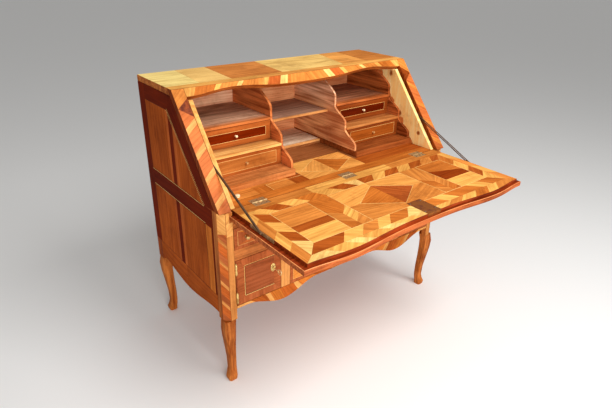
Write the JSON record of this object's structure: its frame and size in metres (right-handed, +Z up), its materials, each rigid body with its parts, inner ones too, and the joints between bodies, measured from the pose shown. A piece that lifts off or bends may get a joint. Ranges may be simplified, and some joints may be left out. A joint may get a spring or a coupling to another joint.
{
  "type": "slant-front desk",
  "caption": "Slant-front writing desk on cabriole legs: a hinged fall with slotted stays, fitted small drawers and shelves, lower drawers and lockable cupboard doors.",
  "frame": {"origin": "on the floor, under the middle of the box that the desk fills with its fall open", "axes": "+X to the right along the width as the sitter sees it, +Y from the front to the back, +Z up"},
  "size_m": [1.15, 1.0148, 1.08],
  "materials": {
    "walnut": "waxed veneer",
    "fruitwood": "waxed veneer",
    "pale_wood": "waxed veneer",
    "poplar": "unfinished",
    "iron": "aged iron",
    "brass": "aged brass"
  },
  "bodies": {
    "case": {"side_left": "walnut", "side_right": "walnut", "top_board": "fruitwood", "back_panel": "poplar", "slant_stile_left": "walnut", "slant_stile_right": "walnut", "top_rail": "walnut", "corner_post_left": "fruitwood", "corner_post_right": "fruitwood", "leg_front_left": "walnut", "leg_front_right": "walnut", "leg_rear_left": "walnut", "leg_rear_right": "walnut", "apron": "walnut", "case_bottom": "poplar", "partition_left": "fruitwood", "partition_right": "fruitwood", "drawer_floor": "walnut", "writing_bed": "fruitwood", "bed_hinge_leaf_left": "iron", "bed_hinge_leaf_middle": "iron", "bed_hinge_leaf_right": "iron", "liner_left": "pale_wood", "liner_right": "pale_wood", "interior_plinth": "walnut", "end_divider_left": "walnut", "end_divider_right": "walnut", "inner_divider_left": "walnut", "inner_divider_right": "walnut", "upper_shelf_left": "walnut", "upper_shelf_right": "walnut", "step_shelf_left": "walnut", "step_shelf_right": "walnut", "centre_shelf": "walnut", "centre_step": "walnut"},
    "fall": {"fall_panel": "fruitwood", "fall_lock": "iron", "fall_hinge_leaf_left": "iron", "fall_hinge_leaf_middle": "iron", "fall_hinge_leaf_right": "iron", "stay_bracket_left": "iron", "stay_bracket_right": "iron"},
    "stay_left": {"stay_left": "iron"},
    "stay_right": {"stay_right": "iron"},
    "small_drawer_left_lower": {"small_drawer_left_lower": "walnut"},
    "small_drawer_left_upper": {"small_drawer_left_upper": "walnut"},
    "small_drawer_right_lower": {"small_drawer_right_lower": "walnut"},
    "small_drawer_right_upper": {"small_drawer_right_upper": "walnut"},
    "drawer_left": {"drawer_left": "fruitwood"},
    "drawer_right": {"drawer_right": "fruitwood"},
    "wide_drawer_upper": {"wide_drawer_upper": "fruitwood"},
    "wide_drawer_lower": {"wide_drawer_lower": "fruitwood"},
    "door_left": {"door_left": "walnut", "door_lock_left": "brass"},
    "door_right": {"door_right": "walnut", "door_lock_right": "brass"},
    "key_left": {"key_left": "brass"},
    "bolt_left": {"bolt_left": "iron"},
    "key_right": {"key_right": "brass"},
    "bolt_right": {"bolt_right": "iron"}
  },
  "joints": [
    {"name": "fall_hinge", "type": "hinge", "parent": "case", "child": "fall", "pos_m": [0, -0.07403, 0.729], "axis": [-1, 0, 0], "range_deg": [0, 129.47]},
    {"name": "stay_left_pivot", "type": "hinge", "parent": "fall", "child": "stay_left", "pos_m": [-0.5205, -0.25895, 0.72348], "axis": [1, 0, 0], "range_deg": [0, 64.73]},
    {"name": "stay_right_pivot", "type": "hinge", "parent": "fall", "child": "stay_right", "pos_m": [0.5205, -0.25895, 0.72348], "axis": [1, 0, 0], "range_deg": [0, 64.73]},
    {"name": "small_drawer_left_lower_slide", "type": "slide", "parent": "case", "child": "small_drawer_left_lower", "axis": [0, 1, 0], "range_m": [-0.17, 0]},
    {"name": "small_drawer_left_upper_slide", "type": "slide", "parent": "case", "child": "small_drawer_left_upper", "axis": [0, 1, 0], "range_m": [-0.15, 0]},
    {"name": "small_drawer_right_lower_slide", "type": "slide", "parent": "case", "child": "small_drawer_right_lower", "axis": [0, 1, 0], "range_m": [-0.17, 0]},
    {"name": "small_drawer_right_upper_slide", "type": "slide", "parent": "case", "child": "small_drawer_right_upper", "axis": [0, 1, 0], "range_m": [-0.15, 0]},
    {"name": "drawer_left_slide", "type": "slide", "parent": "case", "child": "drawer_left", "axis": [0, 1, 0], "range_m": [-0.3, 0]},
    {"name": "drawer_right_slide", "type": "slide", "parent": "case", "child": "drawer_right", "axis": [0, 1, 0], "range_m": [-0.3, 0]},
    {"name": "wide_drawer_upper_slide", "type": "slide", "parent": "case", "child": "wide_drawer_upper", "axis": [0, 1, 0], "range_m": [-0.3, 0]},
    {"name": "wide_drawer_lower_slide", "type": "slide", "parent": "case", "child": "wide_drawer_lower", "axis": [0, 1, 0], "range_m": [-0.3, 0]},
    {"name": "door_left_hinge", "type": "hinge", "parent": "case", "child": "door_left", "pos_m": [-0.5201, -0.09368, 0.3485], "axis": [0, 0, -1], "range_deg": [0, 100]},
    {"name": "door_right_hinge", "type": "hinge", "parent": "case", "child": "door_right", "pos_m": [0.3279, -0.09368, 0.3485], "axis": [0, 0, -1], "range_deg": [0, 100]},
    {"name": "key_left_turn", "type": "hinge", "parent": "door_left", "child": "key_left", "pos_m": [-0.363, -0.08958, 0.4531], "axis": [0, 1, 0], "range_deg": [0, 90]},
    {"name": "bolt_left_throw", "type": "slide", "parent": "door_left", "child": "bolt_left", "axis": [1, 0, 0], "range_m": [0, 0.015]},
    {"name": "key_right_turn", "type": "hinge", "parent": "door_right", "child": "key_right", "pos_m": [0.485, -0.08958, 0.4531], "axis": [0, 1, 0], "range_deg": [0, 90]},
    {"name": "bolt_right_throw", "type": "slide", "parent": "door_right", "child": "bolt_right", "axis": [1, 0, 0], "range_m": [0, 0.015]}
  ],
  "couplings": [
    {"joint": "stay_left_pivot", "follows": "fall_hinge", "ratio": 0.5},
    {"joint": "bolt_left_throw", "follows": "key_left_turn", "m_per_rad": 0.00955},
    {"joint": "stay_right_pivot", "follows": "fall_hinge", "ratio": 0.5},
    {"joint": "bolt_right_throw", "follows": "key_right_turn", "m_per_rad": 0.00955}
  ]
}
